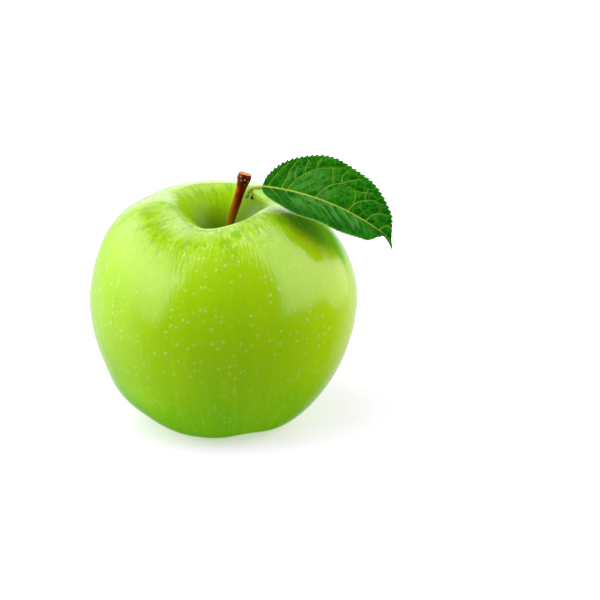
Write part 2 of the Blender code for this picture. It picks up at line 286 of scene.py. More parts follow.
class AppleFruitSettings(bpy.types.PropertyGroup):
    green: colour_setting("Skin green", "Main colour of the flank", 0.34, 0.60, 0.002)
    # Also painted light: the upper part is lighter and yellower
    yellow_green: colour_setting("Sunny green", "Yellower green of the shoulders", 0.41, 0.69, 0.002)
    flank_green: colour_setting("Flank green", "Skin that ripened in the sun", 0.52, 0.69, 0.002)
    # Also painted shade: the base is deeper green
    foot_green: colour_setting("Foot green", "Deeper green near the base", 0.19, 0.58, 0.002)
    # Painted shadow of the leaf on the right shoulder
    leaf_shadow_green: colour_setting("Shaded green", "Deep green under the leaf", 0.12, 0.55, 0.002)
    # Painted shade deep in the cavity
    cavity_shade_green: colour_setting("Cavity green", "Dull green in the cavity", 0.10, 0.22, 0.002)
    # Also the colour of the painted highlights on the cavity's crest
    pale: colour_setting("Pale green", "Waxy green of the rim and the dots", 0.68, 0.88, 0.32)
    dot_spacing: number_setting(
        "Dot spacing", "Size of the cells that the skin's dots lie in, in millimetres", 0.5, 10, 1.6
    )
    dot_radius: number_setting(
        "Dot radius", "Radius of the largest dots, in millimetres", 0.05, 2, 0.58
    )
    gloss_roughness: number_setting("Roughness", "Roughness of the waxed skin", 0.05, 1, 0.145)
    unevenness: length_setting(
        "Unevenness", "Height of the skin's shallow dents", 0, 0.001, 0.00012
    )


class AppleStemSettings(bpy.types.PropertyGroup):
    bark: colour_setting("Bark", "Red-brown of the shaded bark", 0.160, 0.008, 0.001)
    # Painted light: the colour of the bark's lit side
    lit_bark: colour_setting("Light bark", "Orange-brown, weathered side", 0.40, 0.085, 0.001)
    cut: colour_setting("Cut face", "Dry wood of the snapped top", 0.75, 0.34, 0.11)
    knob_height: length_setting(
        "Knob height", "Height of the knobs below the cut", 0, 0.001, 0.00016
    )


class AppleLeafSettings(bpy.types.PropertyGroup):
    teeth: IntProperty(
        name="Teeth", description="Teeth along each margin", min=10, max=120, default=40
    )
    tooth_depth: length_setting("Tooth depth", "From notch to tooth tip", 0, 0.002, 0.00075)
    thickness: length_setting("Thickness", "Thickness of the blade", 0.0001, 0.002, 0.00032)
    quilting: length_setting(
        "Quilting", "How far the blade bulges between its veins", 0, 0.001, 0.00042
    )
    green: colour_setting("Blade green", "Main colour of the upper face", 0.001, 0.095, 0.001)
    light_green: colour_setting("Light green", "Patches between the veins", 0.014, 0.190, 0.001)
    vein: colour_setting("Vein", "Yellow-green of the veins", 0.40, 0.62, 0.06)
    stalk: colour_setting("Stalk", "Yellow-green of the leaf stalk", 0.42, 0.50, 0.05)


class AppleCalyxSettings(bpy.types.PropertyGroup):
    brown: colour_setting("Dry brown", "Colour of the withered sepals", 0.085, 0.045, 0.018)
    stamens: IntProperty(
        name="Stamens", description="Withered stamens between the sepals", min=0, max=40, default=14
    )


class AppleStudioSettings(bpy.types.PropertyGroup):
    left_light: number_setting("Left light", "Soft light from the left", 0, 50, 2.15)
    right_light: number_setting("Right light", "Soft light from the right", 0, 50, 3.3)
    back_light: number_setting("Back light", "Soft light from behind on the right", 0, 50, 1.2)
    top_light: number_setting("Top light", "Soft light from above", 0, 50, 1.35)
    fill: number_setting("Fill", "Light from all round", 0, 5, 0.42)
    left_shine: number_setting("Left shine", "Mirror image of the left panel", 0, 20, 4.3)
    right_shine: number_setting("Right shine", "Mirror image of the right panel", 0, 20, 3.2)
    back_shine: number_setting("Back shine", "Mirror image of the white wall behind", 0, 20, 1.0)
    elevation: FloatProperty(
        name="Camera elevation", description="How far the camera looks down", subtype="ANGLE",
        unit="ROTATION", min=0, max=1.5, default=math.radians(20.5),
    )
    lens: number_setting("Lens", "Focal length in millimetres", 10, 300, 100)
    distance: length_setting("Camera distance", "From the point looked at", 0.1, 5, 0.5)


# Materials

class Signal:
    """An output of a node. Its arithmetic adds the nodes that work it out."""

    def __init__(self, tree, socket):
        self.tree = tree
        self.socket = socket

    def __add__(self, other):
        return maths("ADD", self, other)

    def __sub__(self, other):
        return maths("SUBTRACT", self, other)

    def __rsub__(self, other):
        return maths("SUBTRACT", other, self)

    def __mul__(self, other):
        return maths("MULTIPLY", self, other)

    def __truediv__(self, other):
        return maths("DIVIDE", self, other)


def connect(made, inputs):
    """Gives each input of a node its value, or the signal that feeds it."""
    for key, value in inputs.items():
        if isinstance(value, Signal):
            value.tree.links.new(value.socket, made.inputs[key])
        else:
            made.inputs[key].default_value = value


def node(tree, kind, inputs=None, **settings):
    made = tree.nodes.new(kind)
    for name, value in settings.items():
        setattr(made, name, value)
    connect(made, inputs or {})
    return made


def signal(tree, kind, inputs=None, output=0, **settings):
    """Adds a node and gives one of its outputs."""
    return Signal(tree, node(tree, kind, inputs, **settings).outputs[output])


def maths(operation, first, second=0.0):
    tree = (first if isinstance(first, Signal) else second).tree
    return signal(tree, "ShaderNodeMath", {0: first, 1: second}, operation=operation)


def vector_maths(operation, first, second):
    return signal(first.tree, "ShaderNodeVectorMath", {0: first, 1: second}, operation=operation)


def scaled(vector, factors):
    return vector_maths("MULTIPLY", vector, factors)


def parts(vector, kind="XYZ"):
    """The three numbers of a vector, or of a colour when kind is Color."""
    made = node(vector.tree, "ShaderNodeSeparate" + kind, {0: vector})
    return [Signal(vector.tree, output) for output in made.outputs]


def ramp(value, low, high, bottom=0.0, top=1.0):
    """Rises smoothly from bottom to top while the value goes from low to high."""
    inputs = {"Value": value, "From Min": low, "From Max": high, "To Min": bottom, "To Max": top}
    return signal(
        value.tree, "ShaderNodeMapRange", inputs, "Result", interpolation_type="SMOOTHSTEP"
    )


def blend(share, first, second):
    """The first colour where the share is 0, the second where it is 1."""
    made = node(share.tree, "ShaderNodeMix", {0: share}, data_type="RGBA")
    for key, colour in ((6, first), (7, second)):
        connect(made, {key: colour if isinstance(colour, Signal) else (*colour, 1)})
    return Signal(share.tree, made.outputs[2])


def cloud(vector, scale=1, detail=2.0, roughness=0.5):
    """Soft noise round 0.5."""
    inputs = {"Vector": vector, "Scale": scale, "Detail": detail, "Roughness": roughness}
    return signal(vector.tree, "ShaderNodeTexNoise", inputs, "Fac")


def cells(vector, scale=1.0):
    """Cells: the distance from the middle of each, and its three random numbers."""
    made = node(vector.tree, "ShaderNodeTexVoronoi", {"Vector": vector, "Scale": scale})
    distance, colour = (Signal(vector.tree, made.outputs[name]) for name in ("Distance", "Color"))
    return distance, parts(colour, "Color")


def attribute(tree, name, output="Fac"):
    return signal(tree, "ShaderNodeAttribute", output=output, attribute_name=name)


def object_place(tree):
    return signal(tree, "ShaderNodeTexCoord", output="Object")


def bump(height, distance, strength, onto=None):
    inputs = {"Height": height, "Distance": distance, "Strength": strength}
    if onto is not None:
        inputs["Normal"] = onto
    return signal(height.tree, "ShaderNodeBump", inputs, "Normal")


def flesh(weight, radius, scale):
    """Shader inputs that let a little light through."""
    return {"Subsurface Weight": weight, "Subsurface Radius": radius, "Subsurface Scale": scale}


def new_material(name):
    """An empty Principled material: the material, its tree and its shader."""
    made = bpy.data.materials.new(name)
    made.use_nodes = True
    return made, made.node_tree, made.node_tree.nodes["Principled BSDF"]


def strokes(place, width, length, shift):
    """Short strokes along the lines of growth, one in each cell, some of them faint."""
    moved = vector_maths("ADD", place, (shift, shift, shift))
    distance, random = cells(scaled(moved, (1 / width, 1 / width, 1 / length)))
    return ramp(distance, 0.36, 0.16) * ramp(random[1], 0.25, 0.75)


def skin_material(look):
    """Waxed skin. Along is the way down the skin from the stem's hole, in millimetres:
    the crest is near 20 and the widest ring near 60.
    """
    made, tree, shader = new_material("waxed_apple_skin")
    place = attribute(tree, "skin_place", "Vector")
    along = parts(place)[2]
    spot = object_place(tree)
    right, back, height = parts(spot)

    # Yellower and lighter above, as painted light, and deeper green below, as painted shade, with
    # faint bands and fibres that run down
    colour = blend(ramp(height, 0.030, 0.062), look.green, look.yellow_green)
    colour = blend(ramp(height, 0.034, 0.004), colour, look.foot_green)
    colour = blend(ramp(cloud(spot, 38), 0.40, 0.68, 0, 0.35), colour, look.yellow_green)
    bands = cloud(scaled(place, (0.20, 0.20, 0.012)), 1, 3)
    colour = blend(ramp(bands, 0.35, 0.70, 0, 0.22), colour, look.foot_green)
    fibres = cloud(scaled(place, (0.8, 0.8, 0.03)), 1, 3, 0.6)
    colour = blend(ramp(fibres, 0.45, 0.75, 0, 0.30), colour, look.yellow_green)

    # The lighter, yellower right flank, and the leaf's shadow on the shoulder, painted as deeper
    # green
    flank = ramp(right, 0.008, 0.036) * ramp(height, 0.008, 0.026)
    colour = blend(flank * 0.6, colour, look.flank_green)
    leaf_shadow_edge = back - ramp(right, 0.022, 0.030, 0, 0.005)
    shaded = ramp(right, 0.009, 0.018) * ramp(height, 0.046, 0.054)
    shaded = shaded * ramp(leaf_shadow_edge, -0.0170, -0.0130) * ramp(back, 0.012, 0.000)
    colour = blend(shaded * 0.75, colour, look.leaf_shadow_green)

    # Dark blotches and pale strokes round the crown
    crown = ramp(along, 40, 26)
    blotches = cloud(scaled(place, (0.34, 0.34, 0.22)), 1, 2, 0.6)
    blotches = ramp(blotches, 0.48, 0.60, 0, 0.85) * crown * ramp(along, 10, 19, 0.3, 1.0)
    colour = blend(blotches, colour, BLOTCH_GREEN)
    mottle = ramp(cloud(scaled(place, (0.085, 0.085, 0.12))), 0.36, 0.60, 0.15, 1.0)
    streaks = cloud(scaled(place, (0.42, 0.42, 0.19)), 1, 4, 0.6)
    streaks = ramp(streaks, 0.54, 0.66) * mottle * 0.8
    for width, length, shift in STROKES:
        streaks = maths("MAXIMUM", streaks, strokes(place, width, length, shift))
    streaks *= crown * ramp(along, 16, 21)
    clusters = cloud(scaled(place, (0.14, 0.14, 0.10)))
    streaks *= ramp(clusters, 0.38, 0.60, 0.35, 1.0)
    colour = blend(streaks * 0.52, colour, STROKE_GREEN)

    # Painted highlights: the crest is paler on the right, and has a pale patch at the front left.
    front_left_highlight = ramp(right, -0.0110, -0.0150) * ramp(back, 0.000, -0.006)
    front_left_highlight *= ramp(fibres, 0.35, 0.60, 0.22, 0.48)
    front_left_highlight *= ramp(right, -0.0195, -0.0165)
    crest = ramp(along, 15, 19) * ramp(along, 26, 21)
    crest *= front_left_highlight + ramp(right, 0.000, 0.006, 0, 0.15)
    colour = blend(crest, colour, look.pale)

    # Dots, each with a faint halo
    distance, random = cells(place, 1 / look.dot_spacing)
    reach = distance * look.dot_spacing
    largest = ramp(random[0], 0.20, 1.0, 0.12, look.dot_radius)
    halo = ramp(reach / (largest * 2.2), 1.0, 0.3, 0, 0.04)
    colour = blend(halo, colour, look.pale)
    dots = ramp(reach / largest, 1.0, 0.25)
    strength = ramp(random[0], 0.3, 0.95, 0.08, 0.42) * ramp(along, 62, 84, 1, 0.45)
    colour = blend(dots * strength, colour, DOT_GREEN)

    # Painted shade: the cavity grows darker inwards, sooner on the right.
    rightward = ramp(right, -0.0035, 0.0045, 0, 10) * ramp(along, 22, 16)
    deep = ramp(along - rightward, 15.5, 3)
    colour = blend(deep * 0.85, colour, look.cavity_shade_green)

    gloss = look.gloss_roughness
    grain = cloud(spot, 500)
    ripple = cloud(scaled(place, (0.9, 0.9, 0.25))) * ramp(along, 44, 30, 1.0, 3.0)
    relief = bump(ripple, 0.00012, 0.35)
    relief = bump(streaks, 0.00012, 0.5, relief)
    # Painted shade on the reflections: a dark specular tint inside the cavity, waxed skin outside
    dull = ramp(along - rightward * 0.25, 20, 16)
    connect(shader, {
        "Base Color": colour,
        "Roughness": ramp(grain, 0.3, 0.7, gloss - 0.02, gloss + 0.02),
        "Normal": bump(dots, 0.00006, 0.6, relief),
        "Specular Tint": blend(dull, (1.0, 1.0, 1.0), REFLECTION_SHADE_TINT),
        "IOR": 1.45,
        **flesh(0.12, (1.0, 1.0, 0.3), 0.0015),
    })
    return made


def bark_material(look):
    made, tree, shader = new_material("stem_bark")
    spot = object_place(tree)
    side, up, knob, cut = (
        attribute(tree, name) for name in ("lit_side", "stem_share", "knob", "cut")
    )
    fibre = cloud(scaled(spot, (2600, 2600, 320)), 1, 4, 0.6)
    patch = cloud(spot, 900, 3)
    # Painted light: lighter orange-brown on the stem's left side, darker red-brown on its right,
    # broken by patches
    light = side + (patch - 0.5) * 0.9
    colour = blend(ramp(light, 0.30, 0.85), look.bark, look.lit_bark)
    colour = blend(ramp(up, 0.72, 0.20) * 0.75, colour, (0.40, 0.21, 0.003))
    colour = blend(ramp(fibre, 0.50, 0.75, 0, 0.55), colour, (0.045, 0.010, 0.004))
    colour = blend(knob * 0.9, colour, (0.032, 0.006, 0.002))
    # Pale specks on the knobs
    distance, random = cells(spot, 1050)
    chosen = ramp(random[0], 0.50, 0.56)
    colour = blend(ramp(distance, 0.42, 0.20) * (chosen * knob), colour, (0.48, 0.36, 0.20))
    rings = cloud(spot, 2400, 3)
    wood = blend(ramp(rings, 0.35, 0.7), look.cut, (0.46, 0.17, 0.05))
    connect(shader, {
        "Base Color": blend(cut, colour, wood),
        "Roughness": ramp(fibre, 0.3, 0.7, 0.30, 0.45),
        "Normal": bump(fibre, 0.00010, 0.7),
        "Specular IOR Level": 0.09,
    })
    return made


def leaf_material(look):
    made, tree, shader = new_material("leaf_blade_green")
    spot = object_place(tree)
    main, side, net, under, cell, netting, painted_sheen, margin = (
        attribute(tree, name)
        for name in (
            "main_vein", "side_vein", "fine_vein", "under", "cell", "netting", "painted_sheen", "margin",
        )
    )
    mix = cloud(spot, 190, 3) + (cell - 0.5) * 0.35
    colour = blend(ramp(mix, 0.42, 0.80, 0, 0.7), look.green, look.light_green)

    # A net of fine veins in two sizes, on a slightly wavy ground
    waves = scaled(cloud(spot, 900), (0.0006, 0.0006, 0.0006))
    warped = vector_maths("ADD", spot, waves)
    meshes = net * 0.6
    for size, line, strength in ((0.0024, 0.09, 1.0), (0.0012, 0.09, 0.5)):
        inputs = {"Vector": warped, "Scale": 1 / size}
        gap = signal(
            tree, "ShaderNodeTexVoronoi", inputs, "Distance", feature="DISTANCE_TO_EDGE"
        )
        meshes = maths("MAXIMUM", meshes, ramp(gap, line, line * 0.35, 0, strength))
    colour = blend(meshes * netting * 0.44, colour, (0.08, 0.42, 0.006))

    # Painted sheen: lighter, bluish streaks beside the midrib
    colour = blend(painted_sheen * 0.65, colour, (0.11, 0.36, 0.055))
    colour = blend(side * 0.90, colour, look.vein)
    colour = blend(main, colour, (0.56, 0.68, 0.09))
    # Painted highlight: a lighter line along the near margin
    colour = blend(margin * 0.7, colour, look.vein)
    below = blend(side, (0.13, 0.27, 0.06), (0.32, 0.42, 0.14))
    below = blend(main, below, (0.40, 0.50, 0.18))
    grain = cloud(spot, 2600, 3)
    relief = bump(meshes * -1.0, 0.00012, 0.7)
    connect(shader, {
        "Base Color": blend(under, colour, below),
        "Roughness": ramp(grain, 0.3, 0.7, 0.22, 0.32) + under * 0.3,
        "Normal": bump(grain, 0.00004, 0.6, relief),
        "Specular IOR Level": 0.035,
        **flesh(0.2, (0.3, 1.0, 0.1), 0.0015),
    })
    return made


def stalk_material(look):
    made, tree, shader = new_material("leaf_stalk_green")
    spot = object_place(tree)
    patch = cloud(spot, 700, 3)
    colour = blend(ramp(patch, 0.35, 0.7), look.stalk, (0.30, 0.42, 0.04))
    colour = blend(attribute(tree, "heel"), colour, (0.20, 0.26, 0.09))
    connect(shader, {
        "Base Color": blend(attribute(tree, "dry_tip"), colour, (0.075, 0.022, 0.010)),
        "Roughness": ramp(patch, 0.3, 0.7, 0.38, 0.52),
        "Normal": bump(cloud(spot, 2500), 0.00005, 0.5),
        **flesh(0.1, (0.8, 1.0, 0.3), 0.0006),
    })
    return made


def dry_material(look):
    made, tree, shader = new_material("withered_brown")
    spot = object_place(tree)
    patch = cloud(spot, 900, 4, 0.6)
    fuzz = cloud(spot, 4200, 3, 0.7)
    colour = blend(ramp(patch, 0.35, 0.7), look.brown, (0.20, 0.12, 0.05))
    connect(shader, {
        "Base Color": blend(ramp(fuzz, 0.55, 0.75, 0, 0.7), colour, (0.42, 0.36, 0.24)),
        "Roughness": ramp(fuzz, 0.3, 0.7, 0.75, 0.95),
        "Normal": bump(fuzz, 0.0001, 0.8),
    })
    return made


# Shapes

def finish_piece(name, bm, material, node_name):
    """Puts a finished mesh in the scene in the place of its solid."""
    mesh = bpy.data.meshes.new(name)
    bm.to_mesh(mesh)
    bm.free()
    mesh.shade_smooth()
    mesh.materials.append(material)
    made = bpy.data.objects.new(name, mesh)
    bpy.context.scene.collection.objects.link(made)
    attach(made, "root")
    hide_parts(node_name)
    return made


def spread(start, start_handle, end_handle, end, count):
    """Points along one smooth bend, without its first point."""
    corners = [Vector((x, 0, z)) for x, z in (start, start_handle, end_handle, end)]
    return interpolate_bezier(*corners, count + 1)[1:]


def fruit_profile():
    """Half of the upright section, from the floor of the stem's hole round to the calyx's hole."""
    socket_radius = STEM_FOOT_RADIUS + GAP
    plug_radius = CALYX_PLUG_RADIUS + GAP
    plug_ceiling = BASIN_DEPTH + CALYX_PLUG_DEPTH
    throat = (socket_radius, CAVITY_FLOOR)
    crest = (CREST_RADIUS, CREST_HEIGHT)
    widest = (WIDEST_RADIUS, WIDEST_HEIGHT)
    foot = (FOOT_RADIUS, 0)
    rim = (plug_radius, BASIN_DEPTH)
    socket_floor = CAVITY_FLOOR - SOCKET_DEPTH
    points = [Vector((0, 0, socket_floor)), Vector((socket_radius, 0, socket_floor))]
    points.append(Vector((socket_radius, 0, CAVITY_FLOOR)))
    handles = (
        (socket_radius + CAVITY_THROAT, CAVITY_FLOOR),
        (CREST_RADIUS - CAVITY_BROW, CREST_HEIGHT),
        (CREST_RADIUS + SHOULDER_REACH, CREST_HEIGHT),
        (WIDEST_RADIUS, WIDEST_HEIGHT + SHOULDER_RISE),
        (WIDEST_RADIUS, WIDEST_HEIGHT - FLANK_DROP),
        (FOOT_RADIUS + FOOT_REACH, 0),
        (FOOT_RADIUS - BASIN_BROW, 0),
        (plug_radius + BASIN_SPREAD, BASIN_DEPTH),
    )
    corners = (throat, crest, widest, foot, rim)
    for index, steps in enumerate(FRUIT_SECTION_STEPS):
        first, second = handles[2 * index : 2 * index + 2]
        points += spread(corners[index], first, second, corners[index + 1], steps)
    points += [Vector((plug_radius, 0, plug_ceiling)), Vector((0, 0, plug_ceiling))]
    return points


def grown(point):
    """Where the uneven growth of crown and base takes a point of the round form."""
    radius = math.hypot(point.x, point.y)
    angle = math.atan2(point.x, -point.y)
    upper = ease((point.z - WIDEST_HEIGHT) / (CREST_HEIGHT - WIDEST_HEIGHT))
    socket_radius = STEM_FOOT_RADIUS + GAP
    upper *= clamp((radius - socket_radius) / (CREST_RADIUS - socket_radius))
    rise = sum(
        height * math.cos(crests * (angle - math.radians(turn)))
        for crests, height, turn in CROWN_WAVES
    )
    plug_radius = CALYX_PLUG_RADIUS + GAP
    lower = ease(1 - point.z / LOBE_HEIGHT)
    lower *= clamp((radius - plug_radius) / (FOOT_RADIUS - plug_radius))
    # The front lobes stand a little fuller than in the solid.
    front = math.cos(angle - math.radians(FULL_SIDE))
    near = ease(1 - abs(point.z - FULL_HEIGHT) / FULL_REACH)
    full = 1 + FULL_LOBE * max(front, 0) ** 2 * near * clamp(radius / FOOT_RADIUS)
    lower *= 1 - 0.45 * max(math.cos(angle), 0)
    hollow = ((1 - math.cos(LOBES * (angle - math.radians(LOBE_ANGLE)))) / 2) ** 2
    oval = 1 + OVAL_SHARE * math.cos(2 * (angle - math.radians(OVAL_ANGLE)))
    oval = 1 + (oval - 1) * clamp(radius / CREST_RADIUS - OVAL_START)
    return Vector(
        (
            CORE_X + point.x * oval * full - CROWN_LEAN * upper,
            point.y * oval * full,
            point.z + rise * upper + LOBE_RISE * hollow * lower - FLAT_DEPTH,
        )
    )


def make_fruit(look):
    """The fruit on the solid's own formulas, with shallow dents and a place on the skin."""
    bm = bmesh.new()
    layer = bm.verts.layers.float_vector.new("skin_place")
    profile = []
    length = 0.0
    for point in fruit_profile():
        if profile and len(profile) > 3:
            length += (point - profile[-1].co).length
        vert = bm.verts.new(point)
        vert[layer] = (0, 0, length / MM)
        profile.append(vert)
    edges = [bm.edges.new(pair) for pair in zip(profile, profile[1:])]
    bmesh.ops.spin(
        bm, geom=profile + edges, cent=(0, 0, 0), axis=(0, 0, 1), angle=math.tau,
        steps=FRUIT_TURN_STEPS, use_merge=True,
    )
    bmesh.ops.remove_doubles(bm, verts=bm.verts[:], dist=MERGE_DISTANCE)
    reach = WIDEST_RADIUS / MM
    for vert in bm.verts:
        angle = math.atan2(vert.co.x, -vert.co.y)
        vert[layer] = (reach * math.sin(angle), -reach * math.cos(angle), vert[layer][2])
        vert.co = grown(vert.co)
    bmesh.ops.recalc_face_normals(bm, faces=bm.faces[:])
    bm.normal_update()
    moves = []
    for vert in bm.verts:
        dents = noise.noise(vert.co * DENT_SCALE) + 0.5 * noise.noise(vert.co * FINE_DENT_SCALE)
        # The dents die out at the feet and near the holes.
        radius = math.hypot(vert.co.x - CORE_X, vert.co.y)
        clear = ease(vert.co.z / FEET_CLEARANCE) * ease((radius - HOLE_CLEARANCE) / FEET_CLEARANCE)
        moves.append(vert.normal * (look.unevenness * dents * clear))
    for vert, move in zip(bm.verts, moves):
        vert.co += move
    bmesh.ops.bisect_plane(
        bm, geom=bm.verts[:] + bm.edges[:] + bm.faces[:], dist=MERGE_DISTANCE,
        plane_co=(0, 0, 0), plane_no=(0, 0, -1), clear_outer=True,
    )
    open_edges = [edge for edge in bm.edges if edge.is_boundary]
    bmesh.ops.holes_fill(bm, edges=open_edges, sides=0)
    bmesh.ops.recalc_face_normals(bm, faces=bm.faces[:])
    return finish_piece("fruit_skin", bm, skin_material(look), "fruit")


def drawn_rod(centres, directions, sections, sides, side_hint=Vector((0, 1, 0))):
    """A closed rod: a capped ring drawn out along the centres, square to each direction.

    A section is a half width, which lies along side_hint, and a half thickness.
    Returns the bmesh and the rings of its vertices, in the order of the centres.
    """
    bm = bmesh.new()
    ring_layer = bm.verts.layers.int.new("ring")
    cap = None
    for index, (centre, along, section) in enumerate(zip(centres, directions, sections)):
        across = (side_hint - along * side_hint.dot(along)).normalized()
        place = Matrix((across, along.cross(across), along)).transposed().to_4x4()
        place.translation = centre
        place = place @ Matrix.Diagonal((*section, 1, 1))
        if cap is None:
            bmesh.ops.create_circle(bm, cap_ends=True, segments=sides, radius=1, matrix=place)
            cap = bm.faces[:][0]
        else:
            inner = cap
            drawn = bmesh.ops.extrude_face_region(bm, geom=[inner])["geom"]
            cap = next(part for part in drawn if isinstance(part, bmesh.types.BMFace))
            if index > 1:
                bmesh.ops.delete(bm, geom=[inner], context="FACES_ONLY")
            bmesh.ops.transform(bm, matrix=place @ last.inverted(), verts=cap.verts[:])
        for vert in cap.verts:
            vert[ring_layer] = index
        last = place
    bmesh.ops.recalc_face_normals(bm, faces=bm.faces[:])
    return bm, ring_layer


def new_layers(bm, *names):
    """Numbers on the vertices, which the materials read by name."""
    return {name: bm.verts.layers.float.new(name) for name in names}


def directions_of(centres):
    """The direction at each centre, from its neighbours."""
    found = []
    for index in range(len(centres)):
        before = centres[max(index - 1, 0)]
        after = centres[min(index + 1, len(centres) - 1)]
        found.append((after - before).normalized())
    return found


def girth(share):
    """The stem's radius against its foot's, at a share of the length."""
    for (low, thin), (high, thick) in zip(STEM_GIRTH, STEM_GIRTH[1:]):
        if share <= high:
            return thin + (thick - thin) * ease((share - low) / (high - low))
    return STEM_GIRTH[-1][1]


def make_stem(look):
    """The stalk with ridged bark, a knobbly flare and a slightly hollow cut face."""
    foot = placed((0, 0, CAVITY_FLOOR - SOCKET_DEPTH - FLAT_DEPTH + GAP))
    mouth = placed((0, 0, CAVITY_FLOOR - FLAT_DEPTH))
    top = placed(STEM_TOP)
    centres = [foot.lerp(mouth, step / SOCKET_RINGS) for step in range(SOCKET_RINGS)]
    centres += interpolate_bezier(mouth, placed(STEM_BEND), placed(STEM_LEAN), top, STEM_RINGS)
    directions = directions_of(centres)
    shares = [max(centre.z - mouth.z, 0) / (top.z - mouth.z) for centre in centres]
    radii = [STEM_FOOT_RADIUS * girth(share) for share in shares]
    # The cut face: a rounded rim, then a shallow dish
    end, last = directions[-1], radii[-1]
    for rise, share in CUT_RINGS:
        centres.append(top + end * rise)
        directions.append(end)
        radii.append(last * share)
        shares.append(1 + rise / MM)
    bm, ring_layer = drawn_rod(centres, directions, [(r, r) for r in radii], STEM_SIDES)
    layers = new_layers(bm, "lit_side", "stem_share", "knob", "cut")
    cut_from = len(centres) - len(CUT_RINGS) + 1
    bm.normal_update()
    for vert in bm.verts:
        ring = vert[ring_layer]
        share = shares[ring]
        outward = (vert.co - centres[ring]).normalized()
        angle = math.atan2(outward.x, -outward.y)
        # Painted light: 1 on the stem's lit left side, 0 on its right
        vert[layers["lit_side"]] = 0.5 - 0.5 * math.sin(angle + math.radians(28))
        vert[layers["stem_share"]] = share
        vert[layers["cut"]] = 1.0 if ring >= cut_from else 0.0
        band = ease((share - KNOBS_START) / 0.07) * (1 - ease((share - KNOBS_END) / 0.05))
        spot = vert.co / MM
        lumps = noise.noise(spot * 1.1) + 0.7 * noise.noise(spot * 2.4)
        vert[layers["knob"]] = clamp(band * (0.75 + 0.9 * noise.noise(spot * 1.3)))
        around = Vector((3.2 * math.cos(angle), 3.2 * math.sin(angle), 3 * share))
        ridges = 0.5 * noise.noise(around)
        if SOCKET_RINGS <= ring < cut_from - 1:
            calm = ease((share - 0.06) / 0.10)
            height = look.knob_height * lumps * (0.15 + 0.85 * band) + RIDGE_HEIGHT * ridges
            vert.co += outward * (height * calm)
        elif ring >= cut_from - 1:
            vert.co += end * (CUT_UNEVENNESS * noise.noise(spot * 1.6))
    return finish_piece("stem_bark", bm, bark_material(look), "stem")


def leaf_direction(share):
    """The midrib's direction at a share of the blade's length."""
    heading = math.radians(LEAF_HEADING[0] + LEAF_HEADING[1] * share * share)
    droop = TIP_DROOP * clamp((share - DROOP_START) / (1 - DROOP_START))
    pitch = math.radians(LEAF_PITCH[0] + LEAF_PITCH[1] * share + droop)
    level = math.cos(pitch)
    return Vector((level * math.cos(heading), level * math.sin(heading), math.sin(pitch)))


def leaf_up(share):
    """Straight up from the blade at the midrib, square to it."""
    along = leaf_direction(share)
    return along.cross(Vector((0, 0, 1)).cross(along)).normalized()


def midrib_points(count):
    """The midrib's line from the blade's base to its tip, in even steps."""
    points = [placed(LEAF_BASE)]
    for index in range(count):
        share = (index + 0.5) / count
        stretch = 1 + TIP_STRETCH * ease((share - DROOP_START) / 0.05)
        step = leaf_direction(share) * (LEAF_LENGTH / count * stretch)
        points.append(points[-1] + step)
    return points


def half_width(share, side=0):
    """Half of the blade's width at a share of its length. The far half narrows a little later."""
    swell = max(math.sin(math.pi * clamp(share) ** OUTLINE_SKEW), 0)
    late = 0.015 * side
    narrowing = TIP_NARROWING * ease((share - TIP_START - late) / (TIP_END - TIP_START + late))
    return LEAF_HALF_WIDTH * swell**OUTLINE_FULLNESS * (1 - narrowing)


def blade_point(midrib, share, across):
    """A point of the blade's upper face. across runs from -1, the near edge, to 1, the far edge."""
    up = leaf_up(share)
    level = up.cross(leaf_direction(share))
    side = 1 if across >= 0 else -1
    rise, tip_rise, edge_rise = FAR_RISE if side > 0 else NEAR_RISE
    angle = math.radians(rise + tip_rise * share + edge_rise * abs(across))
    reach = half_width(share, side) * abs(across)
    if side < 0:
        reach *= 1 + NEAR_FULLNESS * ease(1 - abs(share - NEAR_FULLEST) / NEAR_FULL_REACH)
    wave = EDGE_WAVE * math.sin(math.tau * EDGE_WAVES * share + side)
    wave *= across * across * math.sin(math.pi * share)
    return midrib + level * (side * reach * math.cos(angle)) + up * (reach * math.sin(angle) + wave)


def tooth(phase):
    """From -0.5 in a notch to 0.5 at a tip, which lies late in the tooth."""
    if phase < TOOTH_PEAK:
        return phase / TOOTH_PEAK - 0.5
    return 0.5 - (phase - TOOTH_PEAK) / TOOTH_FALL


def vein_distance(places, veins):
    """How far each place is from the nearest path, both on the flattened half blade."""
    least = np.full(len(places), FAR_OFF)
    for path in map(smooth_path, veins):
        for start, end in zip(path, path[1:]):
            along = end - start
            share = np.clip(((places - start) @ along) / (along @ along), 0, 1)
            gap = np.linalg.norm(places - start - share[:, None] * along, axis=1)
            least = np.minimum(least, gap)
    return least


def flattened(share, across):
    """A place on the flattened half blade, in millimetres."""
    return share * LEAF_LENGTH / MM, across * half_width(share) / MM


def smooth_path(path):
    """A vein's corners, flattened, with bends rounded by two rounds of corner cutting."""
    points = [np.array(flattened(*corner)) for corner in path]
    for _ in range(2):
        cut = [points[0]]
        for start, end in zip(points, points[1:]):
            cut += [start * 0.75 + end * 0.25, start * 0.25 + end * 0.75]
        points = cut + [points[-1]]
    return points


